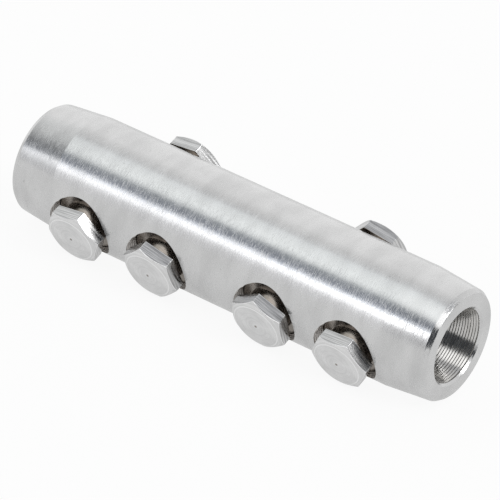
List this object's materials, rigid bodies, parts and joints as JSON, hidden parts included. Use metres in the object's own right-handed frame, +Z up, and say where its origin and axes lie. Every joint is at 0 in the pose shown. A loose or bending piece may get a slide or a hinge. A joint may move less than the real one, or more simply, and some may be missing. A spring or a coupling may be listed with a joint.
{
  "type": "bolted cable connector",
  "caption": "Turned aluminium sleeve that joins two cable ends: a socket bored in each end, and rows of hexagon-head shear bolts that clamp the conductors.",
  "frame": {"origin": "on the sleeve's axis, half way along it", "axes": "+X along the sleeve to the end that is nearer the camera, +Z up as it lies on a table on its round side and its front bolt heads"},
  "size_m": [0.168, 0.0527, 0.042],
  "materials": {
    "sleeve_aluminium": "turned, bright",
    "bolt_aluminium": "turned and milled, satin"
  },
  "bodies": {
    "sleeve": {"connector_body": "sleeve_aluminium"},
    "front_bolt_outer_left": {"front_bolt_outer_left": "bolt_aluminium"},
    "front_bolt_inner_left": {"front_bolt_inner_left": "bolt_aluminium"},
    "front_bolt_inner_right": {"front_bolt_inner_right": "bolt_aluminium"},
    "front_bolt_outer_right": {"front_bolt_outer_right": "bolt_aluminium"},
    "rear_bolt_left": {"rear_bolt_left": "bolt_aluminium"},
    "rear_bolt_right": {"rear_bolt_right": "bolt_aluminium"}
  },
  "joints": [
    {"name": "front_bolt_outer_left_travel", "type": "slide", "parent": "sleeve", "child": "front_bolt_outer_left", "axis": [0, -0.884, -0.4676], "range_m": [-0.005, 0.004]},
    {"name": "front_bolt_inner_left_travel", "type": "slide", "parent": "sleeve", "child": "front_bolt_inner_left", "axis": [0, -0.884, -0.4676], "range_m": [-0.005, 0.004]},
    {"name": "front_bolt_inner_right_travel", "type": "slide", "parent": "sleeve", "child": "front_bolt_inner_right", "axis": [0, -0.884, -0.4676], "range_m": [-0.005, 0.004]},
    {"name": "front_bolt_outer_right_travel", "type": "slide", "parent": "sleeve", "child": "front_bolt_outer_right", "axis": [0, -0.884, -0.4676], "range_m": [-0.005, 0.004]},
    {"name": "rear_bolt_left_travel", "type": "slide", "parent": "sleeve", "child": "rear_bolt_left", "axis": [0, 0.884, 0.4676], "range_m": [-0.005, 0.004]},
    {"name": "rear_bolt_right_travel", "type": "slide", "parent": "sleeve", "child": "rear_bolt_right", "axis": [0, 0.884, 0.4676], "range_m": [-0.005, 0.004]}
  ]
}
